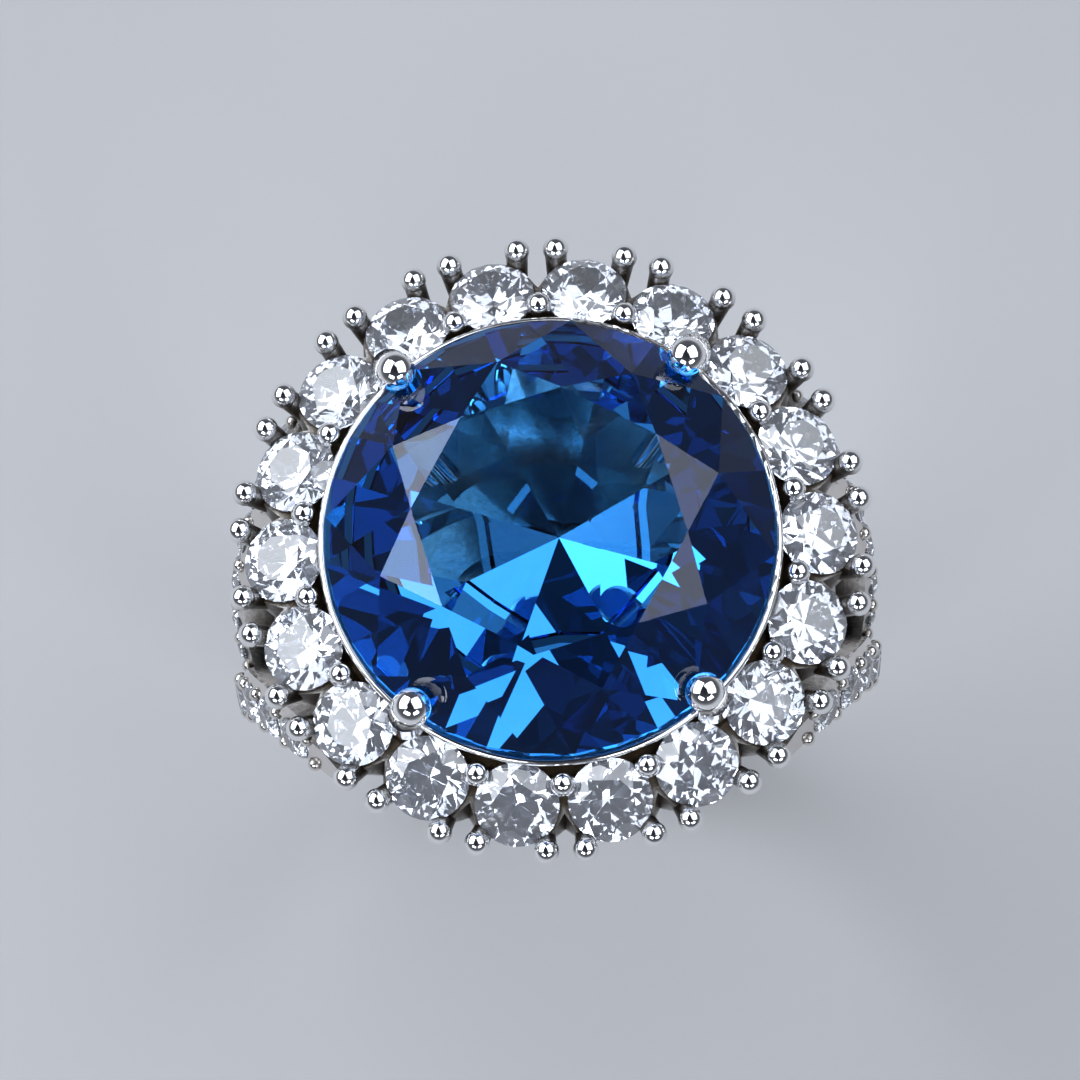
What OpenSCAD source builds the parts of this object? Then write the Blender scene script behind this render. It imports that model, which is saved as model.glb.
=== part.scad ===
// Cocktail ring: a round centre stone in four claws over a halo of eighteen
// outward-leaning stones, on a split shank with stone-set shoulders.
// Frame: +Z runs up through the head, Y is the finger's axis, and the origin
// is the centre of the finger hole. Millimetres.

/* [Shank] */
// Inside diameter of the band, which sets the finger size
bore_d = 17.3; // [17:0.1:17.6]
// Width of the band along the finger
band_w = 2.6; // [2.4:0.1:3]
// Thickness of the band under the head
wall_top = 1.0; // [0.9:0.05:1.1]
// Thickness of the band at the back of the finger
wall_bottom = 1.6; // [1.4:0.1:1.8]

/* [Centre stone] */
// Diameter of the centre stone
centre_d = 14.8; // [14.7:0.05:14.9]
// Height of the centre stone's crown
centre_crown = 1.95; // [1.7:0.05:2.1]
// Depth of the centre stone's pavilion
centre_pavilion = 5.2; // [5:0.05:5.3]

/* [Halo] */
// Radius of the circle that the halo stones stand on
halo_r = 8.82; // [8.78:0.01:8.86]
// Height of the centre stone's girdle above the halo stones' girdles
halo_drop = 1.15; // [1.1:0.05:1.2]
// Outward lean of each halo stone, in degrees
halo_tilt = 24; // [22:1:25]
// Diameter of a halo stone
halo_d = 2.8; // [2.7:0.05:2.8]

/* [Shoulders] */
// Diameter of a shoulder stone
shoulder_d = 1.5; // [1.3:0.05:1.5]

/* [Hidden] */
$fn = 48;
halo_count = 18;
halo_step = 360 / halo_count;
shoulder_count = 6;
fit_gap = 0.012;         // room between a stone and its seat
solder_gap = 0.01;       // half the gap where two mirror-image arms meet
bore_r = bore_d / 2;
band_r = bore_r + (wall_top + wall_bottom) / 2;
band_sink = (wall_bottom - wall_top) / 2;
culet_gap = 1.35;        // daylight between the band and the centre stone's point
loose_gap = 0.06;        // room round the centre stone, whose point is off its axis

// A brilliant cut is [radius, table share, crown height, girdle thickness, pavilion depth,
// star point's share of the radius, lower-half point's share, pavilion's turn in girdle steps].
centre_cut = [centre_d / 2, 0.615, centre_crown, 0.4, centre_pavilion, 0.785, 0.45, 1];
centre_point = [0.18, 0.69]; // where the centre stone's point lies, from the stone's axis
halo_cut = [halo_d / 2, 0.56, 0.40, 0.10, 1.18, 0.76, 0.42, 0];
shoulder_cut = [shoulder_d / 2, 0.58, 0.20, 0.06, 0.58, 0.77, 0.45, 0];
girdle_points = 32;
girdle_step = 360 / girdle_points;
centre_turn = -8;        // angle of one table corner
halo_turn = 17;          // each halo stone is set turned this much from the last

girdle_z = bore_r + wall_top + culet_gap + centre_pavilion + centre_cut[3] / 2;
halo_z = girdle_z - halo_drop;

// Lower rail that the halo's gallery stands on
rail_in = 7.6;
rail_out = 8.95;
rail_top = halo_z - 1.95;
rail_h = 0.65;

// Section of the gallery that the halo stones sit in: radius, height above the stones' girdles
gallery_section = [[7.7, -0.2], [8.3, 0.02], [9.9, -0.6], [9.78, -0.95], [8.95, -1.95], [7.7, -1.95]];
// Groove between neighbouring stones: its point's radius at the top and at the bottom
groove_top = 8.9;
groove_bottom = 9.2;
groove_slope = 0.75;
// Outer claws, in each stone's own tilted frame: x outward, y sideways, z out of the table
outer_head = [1.35, 1.15, 0.43];
outer_foot = [0.6, 0.8, -2.14];
outer_head_r = 0.42;
shared_r = 8.2;          // circle of the claws that two halo stones share
shared_wire_r = 0.27;
shared_foot_z = halo_z - 0.7;
shared_head_z = halo_z + 0.48;

// Claws of the centre stone: they rise in four of the gaps between halo stones
claw_angles = [50, 130, 230, 310];
claw_r = 7.75;
claw_wire_r = 0.44;
claw_neck_r = 0.6;
claw_head_r = 0.66;
claw_head = [7.48, girdle_z + 0.78];
claw_bend_z = rail_top - 0.45;
claw_foot = [3.1, 10.15];

// Shoulder arm: one cubic curve, and the other three are its mirror images
arm_curve = [[8.9, 0.4, -3.6], [10.4, 0.4, 0.5], [11, 2, 10.4], [6.9, 6.4, 12.9]];
arm_lift = 0.2;          // how far the stone-set face turns up towards the head
arm_half_w = 0.86;
arm_half_t = 0.62;
arm_rings = 24;
arm_first_stone = 0.34;
arm_last_stone = 0.87;

function numbered(stem, count) = [for (k = [1:count]) str(stem, k)];
ARM_NAMES = ["front_right", "front_left", "back_right", "back_left"];
ARM_SIDES = [[1, -1], [-1, -1], [1, 1], [-1, 1]];
HALO_NAMES = numbered("halo_stone_", halo_count);
CLAW_NAMES = numbered("centre_claw_", len(claw_angles));
function arm_stone_names(arm) = numbered(str("shoulder_stone_", arm, "_"), shoulder_count);

// ---- Brilliant cut -------------------------------------------------------

function around(radius, angle, z) = [radius * cos(angle), radius * sin(angle), z];
function star_z(cut) =
    cut[3] / 2 + cut[2]
    - (cut[5] * cos(22.5) - cut[1]) * cut[2] / (1 - cut[1]);
function lower_z(cut) = -cut[3] / 2 - (1 - cut[6] * cos(22.5)) * cut[4];
// How far a girdle valley runs past its hill, so that each girdle facet is flat
function valley(cut, share, rise) =
    (1 - cos(girdle_step)) / (1 - share) * rise / cos(girdle_step);

// Leans a pavilion point sideways in proportion to its depth, so that every facet stays flat
function lean(cut, point, p) =
    p - (cut[3] / 2 + p[2]) / cut[4] * [point[0], point[1], 0];

function cut_points(cut, point) = let (
        r = cut[0], half = cut[3] / 2,
        crown_dip = valley(cut, cut[5], star_z(cut) - half),
        pavilion_dip = valley(cut, cut[6], -lower_z(cut) - half))
    concat(
        [for (k = [0:7]) around(r * cut[1], 45 * k, half + cut[2])],
        [for (k = [0:7]) around(r * cut[5], 45 * k + 22.5, star_z(cut))],
        [for (j = [0:girdle_points - 1])
            around(r, girdle_step * j, half - (j % 2) * crown_dip)],
        [for (j = [0:girdle_points - 1])
            lean(cut, point, around(r, girdle_step * j, -half + ((j + cut[7]) % 2) * pavilion_dip))],
        [for (k = [0:7])
            lean(cut, point, around(r * cut[6], 45 * k + 22.5 + girdle_step * cut[7], lower_z(cut)))],
        [[point[0], point[1], -half - cut[4]]]);

function star(k) = 8 + k % 8;
function upper(j) = 16 + j % girdle_points;
function under(j) = 16 + girdle_points + j % girdle_points;
function low(k) = 16 + 2 * girdle_points + k % 8;
culet_point = 24 + 2 * girdle_points;

function cut_faces(turn) = concat(
    [[7, 6, 5, 4, 3, 2, 1, 0]],
    [for (k = [0:7]) [(k + 1) % 8, star(k), k]],
    [for (k = [0:7]) [star(k), upper(4 * k), star(k + 7), k]],
    [for (k = [0:7]) for (h = [0, 2])
        [upper(4 * k + h + 2), upper(4 * k + h + 1), upper(4 * k + h), star(k)]],
    [for (j = [0:girdle_points - 1])
        each [[upper(j + 1), under(j + 1), under(j)], [upper(j + 1), under(j), upper(j)]]],
    [for (k = [0:7]) for (h = [0, 2])
        [under(4 * k + h + turn), under(4 * k + h + 1 + turn), under(4 * k + h + 2 + turn), low(k)]],
    [for (k = [0:7]) [low(k + 7), under(4 * k + turn), low(k), culet_point]]);

module brilliant(cut, point = [0, 0]) {
    polyhedron(points = cut_points(cut, point), faces = cut_faces(cut[7]), convexity = 2);
}

// The round body that just holds a stone: it cuts the seats
module seat(cut, gap = fit_gap) {
    r = cut[0] + gap;
    half = cut[3] / 2 + gap;
    rotate_extrude()
        polygon([
            [0, -half - cut[4]],
            [cut[0] * cut[6] + gap, lower_z(cut) - gap],
            [r, -half],
            [r, half],
            [cut[0] * cut[5] + gap, star_z(cut) + gap],
            [cut[0] * cut[1] + gap, half + cut[2]],
            [0, half + cut[2]]]);
}

// ---- Placing -------------------------------------------------------------

module at_halo(k) {
    rotate([0, 0, halo_step * k])
        translate([halo_r, 0, halo_z])
            rotate([0, halo_tilt, 0]) children();
}

module at_centre() {
    translate([0, 0, girdle_z]) rotate([0, 0, centre_turn]) children();
}

// A straight round wire between two points, as a cone where its ends differ
module wire(from, to, r_from, r_to) {
    along = to - from;
    translate(from)
        rotate([0, acos(along[2] / norm(along)), atan2(along[1], along[0])])
            cylinder(h = norm(along), r1 = r_from, r2 = r_to);
}

// ---- Shank ---------------------------------------------------------------

// A half-round hoop, thicker at the back of the finger
module band() {
    crest = 1.95; // radius of the half-round face
    rotate([90, 0, 0])
        difference() {
            translate([0, -band_sink, 0])
                rotate_extrude()
                    intersection() {
                        translate([bore_r - 1, -band_w / 2]) square([4, band_w]);
                        translate([band_r - crest, 0]) circle(r = crest);
                    }
            cylinder(h = 3 * band_w, r = bore_r, center = true);
        }
}

module shank() {
    color("lightgray") band();
}

// ---- Shoulders -----------------------------------------------------------

function curve(p, t) =
    pow(1 - t, 3) * p[0] + 3 * t * pow(1 - t, 2) * p[1]
    + 3 * t * t * (1 - t) * p[2] + pow(t, 3) * p[3];
function slope(p, t) =
    3 * (pow(1 - t, 2) * (p[1] - p[0]) + 2 * t * (1 - t) * (p[2] - p[1])
    + t * t * (p[3] - p[2]));
function unit(v) = v / norm(v);
function smooth(t) = let (u = min(max(t, 0), 1)) u * u * (3 - 2 * u);

// The arm's own axes at t: along it, out of its stone-set face, and across it
function arm_along(t) = unit(slope(arm_curve, t));
function arm_out(t) = let (
        p = curve(arm_curve, t), a = arm_along(t),
        want = unit([p[0], p[1], 0]) + [0, 0, arm_lift * smooth((t - 0.4) / 0.5)])
    unit(want - (want * a) * a);
function arm_across(t) = cross(arm_along(t), arm_out(t));
function arm_t(t) = arm_half_t * (0.3 + 0.7 * smooth(t / 0.3));
function arm_w(t) = arm_half_w * (0.55 + 0.45 * smooth(t / 0.45));

// Section of the arm: a rectangle with its corners taken off
arm_section = [[1, 0.55], [0.72, 1], [-0.72, 1], [-1, 0.55], [-1, -0.55], [-0.6, -1], [0.6, -1], [1, -0.55]];

module arm_body() {
    sides = len(arm_section);
    points = [for (i = [0:arm_rings]) let (t = i / arm_rings)
        for (s = arm_section)
            curve(arm_curve, t) + s[0] * arm_w(t) * arm_across(t) + s[1] * arm_t(t) * arm_out(t)];
    faces = concat(
        [[for (j = [sides - 1:-1:0]) j]],
        [for (i = [0:arm_rings - 1]) for (j = [0:sides - 1])
            let (a = i * sides + j, b = i * sides + (j + 1) % sides)
            each [[a, b, b + sides], [a, b + sides, a + sides]]],
        [[for (j = [0:sides - 1]) arm_rings * sides + j]]);
    polyhedron(points = points, faces = faces, convexity = 4);
}

function arm_stone_t(k) =
    arm_first_stone + (arm_last_stone - arm_first_stone) * k / (shoulder_count - 1);

// Stands its children on the arm's face at t, with their x along the arm
module on_arm(t) {
    a = arm_along(t);
    o = arm_out(t);
    c = cross(o, a);
    p = curve(arm_curve, t) + arm_t(t) * o;
    multmatrix([
        [a[0], c[0], o[0], p[0]],
        [a[1], c[1], o[1], p[1]],
        [a[2], c[2], o[2], p[2]],
        [0, 0, 0, 1]]) children();
}

module arm_stone(k) {
    on_arm(arm_stone_t(k)) brilliant(shoulder_cut);
}

module arm_beads() {
    half_step = (arm_last_stone - arm_first_stone) / (shoulder_count - 1) / 2;
    for (k = [0:shoulder_count])
        for (side = [-1, 1])
            on_arm(arm_first_stone + half_step * (2 * k - 1))
                translate([0, side * 0.56, 0]) sphere(r = 0.24);
}

module shoulder_arm() {
    color("silver")
        difference() {
            union() {
                arm_body();
                arm_beads();
            }
            for (k = [0:shoulder_count - 1])
                on_arm(arm_stone_t(k)) seat(shoulder_cut);
            band();
            rotate([90, 0, 0]) cylinder(h = 30, r = bore_r + 0.2, center = true);
            translate([-20, -20 + solder_gap, -20]) cube([40, 20, 40]);
            rail_body();
            translate([0, 0, rail_top]) cylinder(h = 5, r = 14);
        }
}

module on_side(side) {
    scale_x = side[0] < 0 ? 1 : 0;
    scale_y = side[1] < 0 ? 1 : 0;
    mirror([scale_x, 0, 0]) mirror([0, scale_y, 0]) children();
}

// ---- Head ----------------------------------------------------------------

module rail_body() {
    rotate_extrude()
        polygon([
            [rail_in, rail_top], [rail_in, rail_top - rail_h + 0.15],
            [rail_in + 0.15, rail_top - rail_h], [rail_out - 0.15, rail_top - rail_h],
            [rail_out, rail_top - rail_h + 0.15], [rail_out, rail_top]]);
}

module claw_body(angle) {
    rotate([0, 0, angle]) {
        bend = [claw_r, 0, claw_bend_z];
        wire([claw_foot[0], 0, claw_foot[1]], bend, claw_wire_r - 0.03, claw_wire_r - 0.02);
        translate(bend) sphere(r = claw_wire_r + 0.01);
        wire(bend, [claw_r, 0, girdle_z - 0.8], claw_wire_r, claw_wire_r);
        wire([claw_r, 0, girdle_z - 0.8], [claw_r, 0, girdle_z - 0.3], claw_wire_r, claw_neck_r);
        wire([claw_r, 0, girdle_z - 0.3], [claw_r, 0, girdle_z + 0.7], claw_neck_r, claw_neck_r);
        translate([claw_head[0], 0, claw_head[1]]) sphere(r = claw_head_r);
    }
}

// Thin wall under the centre stone: its rounded rim shows round the girdle, its foot meets the gallery
module collar_body() {
    rim = girdle_z - centre_cut[3] / 2;
    foot_r = gallery_section[0][0];
    difference() {
        rotate_extrude()
            union() {
                polygon([
                    [7.1, rim - 0.05], [7.1, rim - 1.45], [foot_r, rim - 1.45], [foot_r, rim - 1.2],
                    [7.4, rim - 1.1], [7.4, rim - 0.45], [7.52, rim - 0.3], [7.52, rim - 0.05]]);
                translate([7.52, rim - 0.17]) circle(r = 0.14);
            }
        at_centre() seat(centre_cut, loose_gap);
    }
}

// A dished basket under the centre stone, on a foot that stands over the band
module base_body() {
    difference() {
        rotate_extrude()
            polygon([
                [2.55, 8], [3.65, 8], [3.65, 9.75], [6.15, 11.3], [6.15, 11.85], [5.85, 12.05],
                [2.4, 9.95], [0.9, 9.95], [0.9, 9.3], [2.55, 9.3]]);
        band();
        rotate([90, 0, 0]) cylinder(h = 30, r = bore_r + 0.3, center = true);
    }
}

module centre_claw(k) {
    color("silver")
        difference() {
            claw_body(claw_angles[k]);
            at_centre() seat(centre_cut, loose_gap);
            for (side = [-0.5, 0.5]) at_halo(claw_angles[k] / halo_step + side) seat(halo_cut);
            collar_body();
            base_body();
        }
}

module centre_collar() {
    color("silver") collar_body();
}

module basket_base() {
    color("silver") base_body();
}

module gallery_rail() {
    color("silver")
        difference() {
            rail_body();
            for (a = claw_angles) claw_body(a);
        }
}

module gallery_ring() {
    translate([0, 0, halo_z]) rotate_extrude() polygon(gallery_section);
}

// The wedge of space between two halo stones, open outwards
module groove(gap) {
    reach = 10.8;
    top = (reach - groove_top) * groove_slope;
    bottom = (reach - groove_bottom) * groove_slope;
    rotate([0, 0, gap])
        translate([0, 0, halo_z])
            polyhedron(
                points = [
                    [groove_bottom, 0, -1.75], [reach, -bottom, -1.75], [reach, bottom, -1.75],
                    [groove_top, 0, 0.6], [reach, -top, 0.6], [reach, top, 0.6]],
                faces = [[0, 1, 2], [5, 4, 3], [3, 4, 1, 0], [4, 5, 2, 1], [5, 3, 0, 2]]);
}

module outer_claw(side) {
    foot = [outer_foot[0], side * outer_foot[1], outer_foot[2]];
    head = [outer_head[0], side * outer_head[1], outer_head[2]];
    wire(foot, head, 0.3, 0.37);
    translate(head) sphere(r = outer_head_r);
}

function is_claw_gap(angle) = len(search(angle, claw_angles)) > 0;

module shared_wire(grow) {
    translate([shared_r, 0, shared_foot_z])
        cylinder(h = shared_head_z - shared_foot_z, r = shared_wire_r + grow);
}

module halo_gallery() {
    color("silver")
        difference() {
            union() {
                difference() {
                    gallery_ring();
                    for (k = [0:halo_count - 1]) groove(halo_step * (k + 0.5));
                }
                for (k = [0:halo_count - 1]) at_halo(k) {
                    outer_claw(1);
                    outer_claw(-1);
                }
            }
            for (k = [0:halo_count - 1]) {
                at_halo(k) {
                    seat(halo_cut);
                    translate([0, 0, -4]) cylinder(h = 4, r = 0.42);
                    translate([0.3, 0, -1.5]) rotate([0, 90, 0]) cylinder(h = 2, r = 0.6);
                }
                gap = halo_step * (k + 0.5);
                if (is_claw_gap(gap)) claw_body(gap);
                else rotate([0, 0, gap]) shared_wire(0.005);
            }
            translate([0, 0, rail_top - 5]) cylinder(h = 5, r = 12);
        }
}

module halo_shared_claw(gap) {
    difference() {
        rotate([0, 0, gap]) {
            shared_wire(0);
            translate([shared_r, 0, shared_head_z]) sphere(r = outer_head_r);
        }
        for (side = [-0.5, 0.5]) at_halo(gap / halo_step + side) seat(halo_cut);
        at_centre() seat(centre_cut, loose_gap);
    }
}

module halo_shared_claws() {
    color("silver")
        for (k = [0:halo_count - 1]) {
            gap = halo_step * (k + 0.5);
            if (!is_claw_gap(gap)) halo_shared_claw(gap);
        }
}

// ---- Stones --------------------------------------------------------------

module centre_stone() {
    color("royalblue") at_centre() brilliant(centre_cut, centre_point);
}

module halo_stone(k) {
    color("white") at_halo(k) rotate([0, 0, halo_turn * k]) brilliant(halo_cut);
}

// ---- Nodes ---------------------------------------------------------------

shank();
basket_base();
centre_collar();
gallery_rail();
halo_gallery();
halo_shared_claws();
centre_stone();
for (k = [0:len(CLAW_NAMES) - 1])
    centre_claw(k);
for (k = [0:halo_count - 1])
    halo_stone(k);
for (i = [0:len(ARM_NAMES) - 1]) {
    on_side(ARM_SIDES[i]) shoulder_arm();
    for (k = [0:shoulder_count - 1])
        color("white") on_side(ARM_SIDES[i]) arm_stone(k);
}
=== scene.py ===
import math

import bpy
from mathutils import Matrix, Vector


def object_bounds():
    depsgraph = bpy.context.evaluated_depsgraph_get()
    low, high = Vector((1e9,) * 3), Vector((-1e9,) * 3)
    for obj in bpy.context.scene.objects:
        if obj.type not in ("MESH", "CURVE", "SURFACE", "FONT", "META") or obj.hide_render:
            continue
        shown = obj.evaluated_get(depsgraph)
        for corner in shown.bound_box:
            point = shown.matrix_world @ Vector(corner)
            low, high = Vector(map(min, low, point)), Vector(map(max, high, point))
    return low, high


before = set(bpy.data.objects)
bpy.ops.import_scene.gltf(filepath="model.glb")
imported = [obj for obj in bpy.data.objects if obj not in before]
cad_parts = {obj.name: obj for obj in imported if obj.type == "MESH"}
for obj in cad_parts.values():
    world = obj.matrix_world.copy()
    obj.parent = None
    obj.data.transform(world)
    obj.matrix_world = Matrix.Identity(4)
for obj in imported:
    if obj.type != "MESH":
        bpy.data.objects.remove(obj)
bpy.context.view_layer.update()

MM = 0.001

# ---- Nodes ---------------------------------------------------------------


def new_material(name):
    mat = bpy.data.materials.new(name)
    mat.use_nodes = True
    nt = mat.node_tree
    nt.nodes.clear()
    out = nt.nodes.new("ShaderNodeOutputMaterial")
    bsdf = nt.nodes.new("ShaderNodeBsdfPrincipled")
    nt.links.new(bsdf.outputs["BSDF"], out.inputs["Surface"])
    return mat, nt, bsdf, out


def position(nt, scale):
    """The place on the object, in units of 1 / scale metres."""
    coord = nt.nodes.new("ShaderNodeTexCoord")
    mapping = nt.nodes.new("ShaderNodeMapping")
    mapping.inputs["Scale"].default_value = (scale, scale, scale)
    nt.links.new(coord.outputs["Object"], mapping.inputs["Vector"])
    return mapping.outputs["Vector"]


def noise(nt, vector, scale, detail=3.0, rough=0.5):
    n = nt.nodes.new("ShaderNodeTexNoise")
    n.inputs["Scale"].default_value = scale
    n.inputs["Detail"].default_value = detail
    n.inputs["Roughness"].default_value = rough
    nt.links.new(vector, n.inputs["Vector"])
    return n.outputs["Fac"]


def ramp(nt, value, stops):
    r = nt.nodes.new("ShaderNodeValToRGB")
    el = r.color_ramp.elements
    while len(el) < len(stops):
        el.new(0.5)
    for e, (at, colour) in zip(el, stops):
        e.position = at
        e.color = (*colour, 1.0)
    nt.links.new(value, r.inputs["Fac"])
    return r.outputs["Color"]


def spread(nt, value, low, high, to_low, to_high):
    """The value taken from the range low..high to the range to_low..to_high."""
    m = nt.nodes.new("ShaderNodeMapRange")
    for key, v in (("From Min", low), ("From Max", high), ("To Min", to_low), ("To Max", to_high)):
        m.inputs[key].default_value = v
    nt.links.new(value, m.inputs["Value"])
    return m.outputs["Result"]


def combine(nt, operation, *values):
    """A math node fed with sockets and plain numbers."""
    node = nt.nodes.new("ShaderNodeMath")
    node.operation = operation
    for socket, value in zip(node.inputs, values):
        if isinstance(value, float):
            socket.default_value = value
        else:
            nt.links.new(value, socket)
    return node.outputs[0]


def bump(nt, bsdf, height, strength, distance):
    b = nt.nodes.new("ShaderNodeBump")
    b.inputs["Distance"].default_value = distance
    nt.links.new(strength, b.inputs["Strength"])
    nt.links.new(height, b.inputs["Height"])
    nt.links.new(b.outputs["Normal"], bsdf.inputs["Normal"])


# ---- Materials -----------------------------------------------------------

WHITE = (1.0, 1.0, 1.0)
PLATE = (0.74, 0.71, 0.68)
# Painted shade: the dark colour painted on the closed-in places of the band and shank
PAINTED_SHADE = (0.06, 0.05, 0.04)
GRIT_PER_MM = 6.0
# How much the grit counts beside the openness when a place is polished or painted in shade
GRIT_SHARE = 0.4


def metal(name, light, dark, rough, reach, open_from, open_to, rim=None, grain=0.05):
    """Rhodium plate: polished where it is open; rougher and gritty where it is closed in, where
    painted shade darkens its colour.

    light, dark: its colour where it is polished and open, and its painted shade colour where it is
    closed in.
    rough: its roughness where it is polished.
    reach: how near, in mm, a surface must be to close it in.
    open_from, open_to: how open it is where it is fully in painted shade and where it is fully
    polished.
    rim: below this height, in mm, it is painted in shade anyway.
    grain: depth of the grit, in mm.
    """
    mat, nt, bsdf, out = new_material(name)
    at = position(nt, 1.0 / MM)
    bsdf.inputs["Metallic"].default_value = 1.0
    # Painted shade: ambient occlusion darkens the colour in recesses, between parts, under the halo
    # and near the floor; the grit adds random tone and bumps
    shelter = nt.nodes.new("ShaderNodeAmbientOcclusion")
    shelter.samples = 8
    shelter.inputs["Distance"].default_value = reach * MM
    grit = noise(nt, at, GRIT_PER_MM, 4.0, 0.7)
    mixed = combine(nt, "MULTIPLY_ADD", grit, GRIT_SHARE, shelter.outputs["AO"])
    mean_grit = GRIT_SHARE / 2
    polish_vs_shade = spread(nt, mixed, open_from + mean_grit, open_to + mean_grit, 0.0, 1.0)
    # Painted shade: below the rim height the colour is darkened whatever the occlusion
    if rim is not None:
        split = nt.nodes.new("ShaderNodeSeparateXYZ")
        nt.links.new(at, split.inputs["Vector"])
        above = spread(nt, split.outputs["Z"], rim - 0.1, rim + 0.05, 0.0, 1.0)
        polish_vs_shade = combine(nt, "MULTIPLY", polish_vs_shade, above)
    middle = tuple((a + b) / 2 for a, b in zip(dark, light))
    colour = ramp(nt, polish_vs_shade, [(0.0, dark), (0.45, middle), (1.0, light)])
    nt.links.new(colour, bsdf.inputs["Base Color"])
    nt.links.new(spread(nt, polish_vs_shade, 0.0, 1.0, rough * 6.0, rough), bsdf.inputs["Roughness"])
    bump(nt, bsdf, grit, spread(nt, polish_vs_shade, 0.2, 0.9, 1.0, 0.05), grain * MM)
    return mat


def gem(name, ior, cloudy, glare, colour, density):
    """Cut glass: faintly cloudy in patches, with its colour in its depth.

    cloudy: its faces' colour in those patches.
    glare: the share of the light that its faces scatter.
    colour, density: what its depth absorbs, per metre.
    """
    mat, nt, bsdf, out = new_material(name)
    cloud = noise(nt, position(nt, 1.0 / MM), 1.1)
    nt.links.new(ramp(nt, cloud, [(0.35, WHITE), (0.7, cloudy)]), bsdf.inputs["Base Color"])
    bsdf.inputs["Transmission Weight"].default_value = 1.0 - glare
    bsdf.inputs["IOR"].default_value = ior
    bsdf.inputs["Roughness"].default_value = 0.0
    body = nt.nodes.new("ShaderNodeVolumeAbsorption")
    body.inputs["Color"].default_value = (*colour, 1.0)
    body.inputs["Density"].default_value = density
    nt.links.new(body.outputs["Volume"], out.inputs["Volume"])
    return mat


BLUE = gem("blue_glass", 1.62, (0.93, 0.95, 0.97), 0.0, (0.50, 0.825, 0.985), 400.0)
CLEAR = gem("clear_zirconia", 2.15, (0.90, 0.94, 1.0), 0.08, (0.78, 0.84, 1.0), 150.0)
# Each metal's second colour is the painted shade of its closed-in places
BRIGHT = metal("rhodium_polished", (0.93, 0.93, 0.94), (0.45, 0.42, 0.39), 0.045, 0.7, 0.35, 0.8)
CAST = metal("rhodium_cast", (0.90, 0.90, 0.90), (0.06, 0.045, 0.03), 0.07, 1.1, 0.55, 0.95)
COLLAR = metal("rhodium_collar", (0.95, 0.94, 0.92), (0.07, 0.05, 0.03), 0.05, 0.3, 0.1, 0.5, rim=16.0)
BAND = metal("rhodium_band", PLATE, PAINTED_SHADE, 0.05, 3.0, 0.35, 0.90)
SHANK = metal("rhodium_shank", PLATE, PAINTED_SHADE, 0.05, 0.8, 0.35, 0.90)
BASKET = metal("rhodium_basket", PLATE, (0.045, 0.045, 0.04), 0.05, 3.0, 0.35, 0.90, grain=0.008)

# How each piece's name starts, and its material: the first line that fits is used
LOOKS = [
    ("centre_stone", BLUE),
    ("halo_stone", CLEAR),
    ("shoulder_stone", CLEAR),
    ("centre_claw", BRIGHT),
    ("halo_shared_claws", BRIGHT),
    ("centre_collar", COLLAR),
    ("halo_gallery", CAST),
    ("basket_base", BASKET),
    ("gallery_rail", BASKET),
    ("shank", SHANK),
    ("shoulder", BAND),
]

for name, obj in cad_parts.items():
    look = next(mat for start, mat in LOOKS if name.startswith(start))
    for slot in obj.material_slots:
        slot.material = look

# ---- Floor, light and camera ---------------------------------------------

FLOOR_SIZE = 0.7
BOX_DISTANCE = 0.3
HEAD = Vector((0.0, 0.0, 15.2 * MM))

low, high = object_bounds()
bpy.ops.mesh.primitive_plane_add(size=FLOOR_SIZE, location=(0.0, 0.0, low[2]))
floor = bpy.context.object
floor.name = "floor"
mat, nt, bsdf, out = new_material("pale_floor")
bsdf.inputs["Base Color"].default_value = (0.42, 0.42, 0.43, 1.0)
bsdf.inputs["Roughness"].default_value = 0.8
floor.data.materials.append(mat)


def softbox(name, azimuth, elevation, half_width, half_height, radiance):
    """A rectangle of light that faces the head: angles in degrees, brightness in W/m2/sr."""
    az, el = math.radians(azimuth), math.radians(elevation)
    back = Vector((math.cos(az) * math.cos(el), math.sin(az) * math.cos(el), math.sin(el)))
    side = Vector((-math.sin(az), math.cos(az), 0.0))
    data = bpy.data.lights.new(name, "AREA")
    data.shape = "RECTANGLE"
    data.size = 2.0 * BOX_DISTANCE * math.tan(math.radians(half_width))
    data.size_y = 2.0 * BOX_DISTANCE * math.tan(math.radians(half_height))
    data.energy = radiance * math.pi * data.size * data.size_y
    data.color = (0.88, 0.93, 1.0)
    light = bpy.data.objects.new(name, data)
    turn = Matrix((side, back.cross(side), back)).transposed().to_4x4()
    light.matrix_world = Matrix.Translation(HEAD + BOX_DISTANCE * back) @ turn
    bpy.context.scene.collection.objects.link(light)


# Left and right light the facets of the centre stone, the two in front light the lower halo
# stones and the metal
softbox("left", 152.0, 43.0, 34.0, 23.0, 3.8)
softbox("right", 21.0, 55.0, 32.0, 26.0, 1.9)
softbox("front_left", -120.0, 35.0, 14.0, 8.0, 7.0)
softbox("front_right", -60.0, 35.0, 14.0, 8.0, 7.0)

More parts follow.
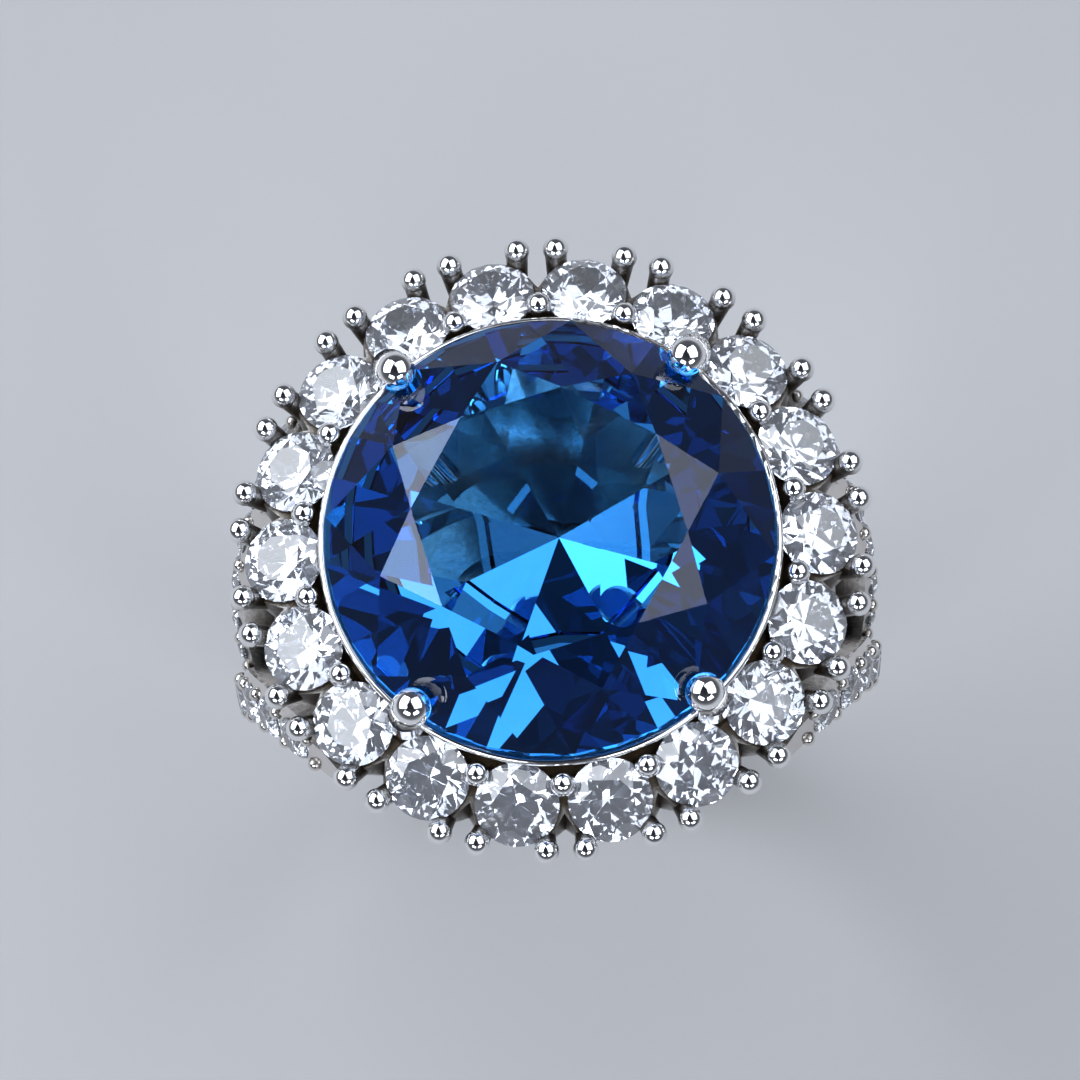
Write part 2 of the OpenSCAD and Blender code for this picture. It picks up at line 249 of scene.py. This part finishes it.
# The room: pale at the horizon and dim overhead, so that facets and polished metal have contrast
world = bpy.data.worlds.new("studio")
bpy.context.scene.world = world
world.use_nodes = True
nt = world.node_tree
coord = nt.nodes.new("ShaderNodeTexCoord")
split = nt.nodes.new("ShaderNodeSeparateXYZ")
nt.links.new(coord.outputs["Generated"], split.inputs["Vector"])
sky = ramp(nt, split.outputs["Z"], [(0.0, (0.26, 0.27, 0.30)), (0.12, (0.10, 0.105, 0.12)),
                                    (0.6, (0.07, 0.075, 0.09)), (1.0, (0.02, 0.02, 0.03))])
nt.links.new(sky, nt.nodes["Background"].inputs["Color"])
nt.nodes["Background"].inputs["Strength"].default_value = 1.0

# The camera looks down on the head from the front, at the photo's angle
AZIMUTH, ELEVATION, ROLL = math.radians(1.0), math.radians(74.4), math.radians(3.9)
CAMERA_DISTANCE = 0.4
FRAME_WIDTH = 35.57 * MM
HALO_CENTRE = Vector((0.0, 0.0, 15.25 * MM))
AIM_RIGHT, AIM_UP = -0.36 * MM, 0.23 * MM

back = Vector((math.sin(AZIMUTH) * math.cos(ELEVATION), -math.cos(AZIMUTH) * math.cos(ELEVATION),
               math.sin(ELEVATION)))
right = Vector((math.cos(AZIMUTH), math.sin(AZIMUTH), 0.0))
up = back.cross(right)
turned_right = right * math.cos(ROLL) - up * math.sin(ROLL)
turned_up = right * math.sin(ROLL) + up * math.cos(ROLL)
aim = HALO_CENTRE + turned_right * AIM_RIGHT + turned_up * AIM_UP

camera_data = bpy.data.cameras.new("camera")
camera_data.sensor_width = 36.0
camera_data.lens = camera_data.sensor_width * CAMERA_DISTANCE / FRAME_WIDTH
camera_data.clip_start, camera_data.clip_end = 0.01, 10.0
camera = bpy.data.objects.new("camera", camera_data)
turn = Matrix((turned_right, turned_up, back)).transposed().to_4x4()
camera.matrix_world = Matrix.Translation(aim + back * CAMERA_DISTANCE) @ turn

scene = bpy.context.scene
scene.collection.objects.link(camera)
scene.camera = camera
# Light crosses many faces inside a cut stone
scene.cycles.max_bounces = 20
scene.cycles.transmission_bounces = 16
scene.cycles.glossy_bounces = 8
scene.view_settings.view_transform = "Standard"
